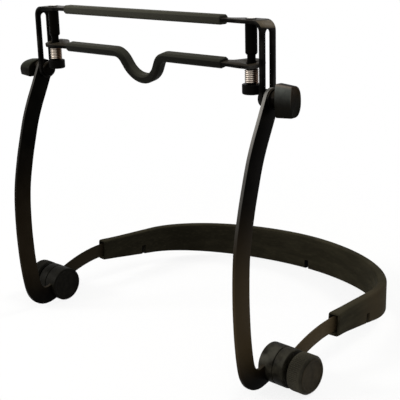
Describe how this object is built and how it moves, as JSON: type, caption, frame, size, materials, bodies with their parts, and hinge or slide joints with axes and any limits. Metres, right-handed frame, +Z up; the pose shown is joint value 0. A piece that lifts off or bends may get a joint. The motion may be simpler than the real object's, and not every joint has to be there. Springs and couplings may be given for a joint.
{
  "type": "harmonica holder",
  "caption": "Neck-worn harmonica holder: padded spring yoke, two bent swinging arms on friction hubs, and a tilting frame with a fixed and a spring-loaded padded bar that clamp the instrument.",
  "frame": {"origin": "on the surface the holder stands on, under the middle of its bounding box", "axes": "+X from the left arm to the right arm as seen from the front, along both pivot lines; -Y forward, away from the wearer; +Z up"},
  "size_m": [0.2628, 0.2106, 0.2209],
  "materials": {
    "black_steel": "satin black enamel",
    "spring_steel": "blackened spring steel",
    "bright_steel": "plated steel",
    "black_rubber": "soft black rubber",
    "moulded_black": "fine matt moulding"
  },
  "bodies": {
    "neck_yoke": {"neck_spring": "spring_steel", "neck_pad": "black_rubber", "right_neck_hub": "moulded_black", "left_neck_hub": "moulded_black", "right_pivot_spacer": "spring_steel", "left_pivot_spacer": "spring_steel"},
    "right_arm": {"right_arm": "black_steel", "right_arm_hub": "moulded_black", "right_pivot_bolt": "bright_steel"},
    "left_arm": {"left_arm": "black_steel", "left_arm_hub": "moulded_black", "left_pivot_bolt": "bright_steel"},
    "right_lower_knob": {"right_lower_knob": "moulded_black"},
    "left_lower_knob": {"left_lower_knob": "moulded_black"},
    "right_clamp_bolt": {"right_clamp_bolt": "black_steel", "right_clamp_collar": "spring_steel"},
    "left_clamp_bolt": {"left_clamp_bolt": "black_steel", "left_clamp_collar": "spring_steel"},
    "right_thumb_knob": {"right_thumb_knob": "moulded_black"},
    "left_thumb_knob": {"left_thumb_knob": "moulded_black"},
    "clamp_frame": {"upper_frame": "black_steel", "upper_pad": "black_rubber", "right_post": "black_steel", "left_post": "black_steel", "right_sleeve": "black_steel", "left_sleeve": "black_steel", "right_end_cap": "moulded_black", "left_end_cap": "moulded_black", "right_spring": "bright_steel", "left_spring": "bright_steel"},
    "clamp_bar": {"lower_bar": "black_steel", "lower_pad": "black_rubber"}
  },
  "joints": [
    {"name": "arms_swing", "type": "hinge", "parent": "neck_yoke", "child": "right_arm", "pos_m": [0.108, -0.06755, 0.0122], "axis": [1, 0, 0], "range_deg": [-65, 120]},
    {"name": "left_arm_swing", "type": "hinge", "parent": "neck_yoke", "child": "left_arm", "pos_m": [-0.108, -0.06755, 0.0122], "axis": [1, 0, 0], "range_deg": [-65, 120]},
    {"name": "clamp_tilt", "type": "hinge", "parent": "right_arm", "child": "right_clamp_bolt", "pos_m": [0.102, -0.07069, 0.1756], "axis": [1, 0, 0], "range_deg": [-90, 90]},
    {"name": "left_clamp_tilt", "type": "hinge", "parent": "left_arm", "child": "left_clamp_bolt", "pos_m": [-0.102, -0.07069, 0.1756], "axis": [1, 0, 0], "range_deg": [-90, 90]},
    {"name": "clamp_height", "type": "slide", "parent": "right_clamp_bolt", "child": "clamp_frame", "axis": [0, 0, 1], "range_m": [-0.033, 0]},
    {"name": "clamp_opening", "type": "slide", "parent": "clamp_frame", "child": "clamp_bar", "axis": [0, 0, 1], "range_m": [-0.0015, 0.0034], "stiffness_N_per_m": 1200, "springref_m": 0.012, "deforming": ["right_spring", "left_spring"]},
    {"name": "right_lower_knob_turn", "type": "hinge", "parent": "right_arm", "child": "right_lower_knob", "pos_m": [0.1258, -0.06755, 0.0122], "axis": [1, 0, 0], "continuous": true},
    {"name": "left_lower_knob_turn", "type": "hinge", "parent": "left_arm", "child": "left_lower_knob", "pos_m": [-0.1258, -0.06755, 0.0122], "axis": [1, 0, 0], "continuous": true},
    {"name": "right_thumb_knob_turn", "type": "hinge", "parent": "right_clamp_bolt", "child": "right_thumb_knob", "pos_m": [0.1153, -0.07069, 0.1756], "axis": [1, 0, 0], "continuous": true},
    {"name": "left_thumb_knob_turn", "type": "hinge", "parent": "left_clamp_bolt", "child": "left_thumb_knob", "pos_m": [-0.1153, -0.07069, 0.1756], "axis": [1, 0, 0], "continuous": true}
  ],
  "couplings": [
    {"joint": "left_arm_swing", "follows": "arms_swing", "ratio": 1},
    {"joint": "left_clamp_tilt", "follows": "clamp_tilt", "ratio": 1}
  ]
}
